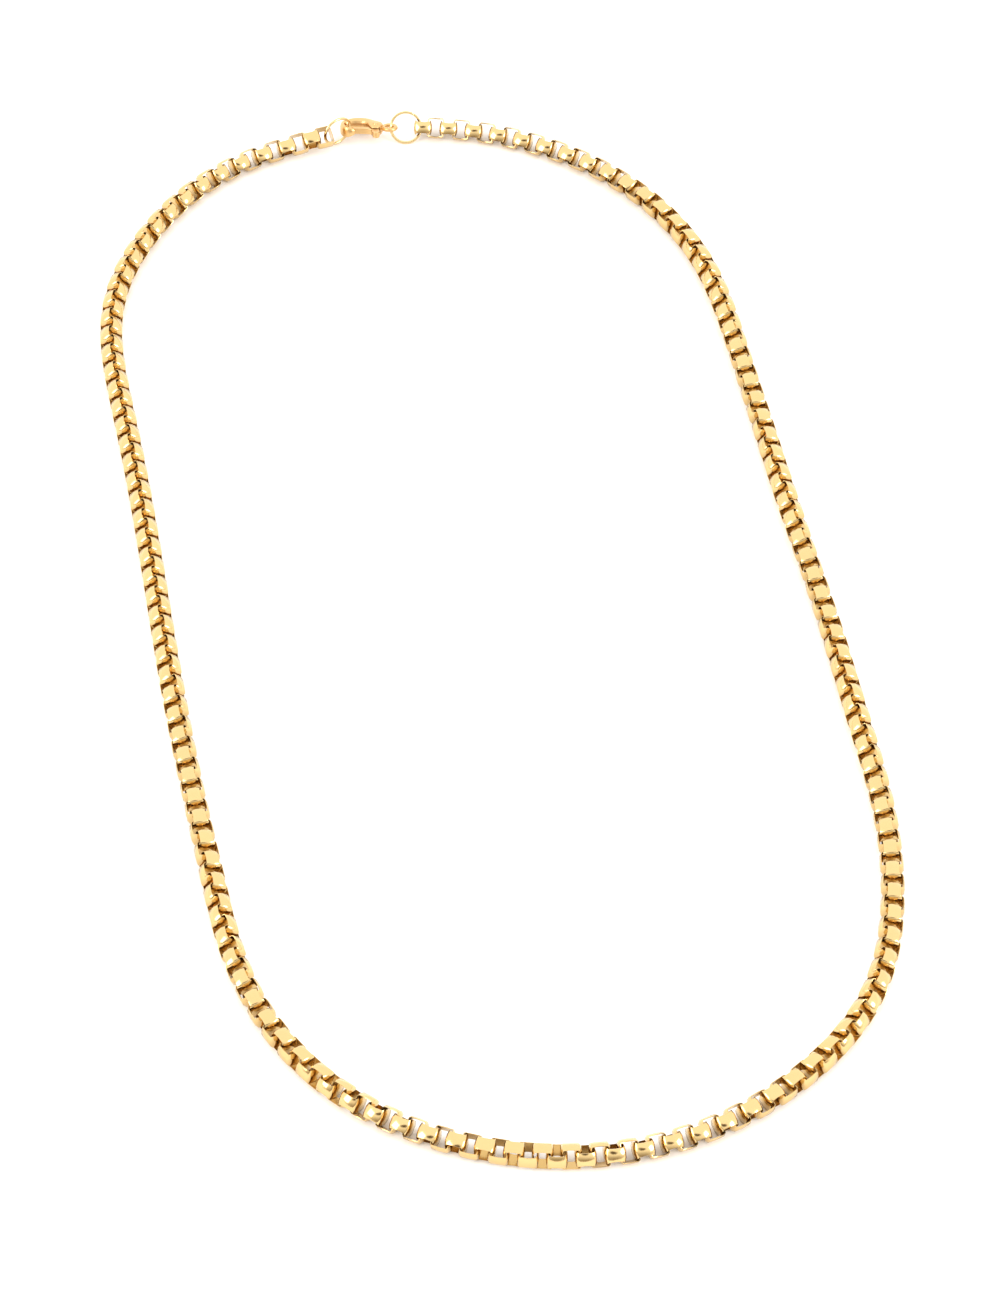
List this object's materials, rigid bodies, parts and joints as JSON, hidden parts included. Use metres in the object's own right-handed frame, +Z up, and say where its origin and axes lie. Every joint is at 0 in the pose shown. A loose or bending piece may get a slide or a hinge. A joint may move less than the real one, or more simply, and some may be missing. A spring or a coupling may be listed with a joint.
{
  "type": "box chain necklace",
  "caption": "Round box chain necklace of domed band links with wire rings and a sprung lobster clasp, closed and lying flat in a long loop",
  "frame": {"origin": "On the surface the necklace lies on, under the middle of the loop's bounding box", "axes": "+Y runs along the loop's long way, from its front to the clasp; +X across the loop, to the right as the clasp lies far away; +Z up from the surface"},
  "size_m": [0.107, 0.2264, 0.0056],
  "materials": {
    "chain_gold": "polished, gold coloured",
    "ring_gold": "polished, gold coloured",
    "clasp_gold": "satin polished, gold coloured"
  },
  "bodies": {
    "necklace": {"chain_left": "chain_gold", "chain_right": "chain_gold", "end_link_left": "chain_gold", "end_link_right": "chain_gold", "small_ring": "ring_gold", "large_ring": "ring_gold", "clasp_body": "clasp_gold", "clasp_pin": "clasp_gold"},
    "lever": {"clasp_lever": "clasp_gold"}
  },
  "joints": [
    {"name": "lever_hinge", "type": "hinge", "parent": "necklace", "child": "lever", "pos_m": [0.00146, 0.10949, 0.00254], "axis": [-0.0511, -0.3382, -0.9397], "range_deg": [0, 25], "stiffness_Nm_per_rad": 0.002, "springref_deg": -20.05}
  ]
}
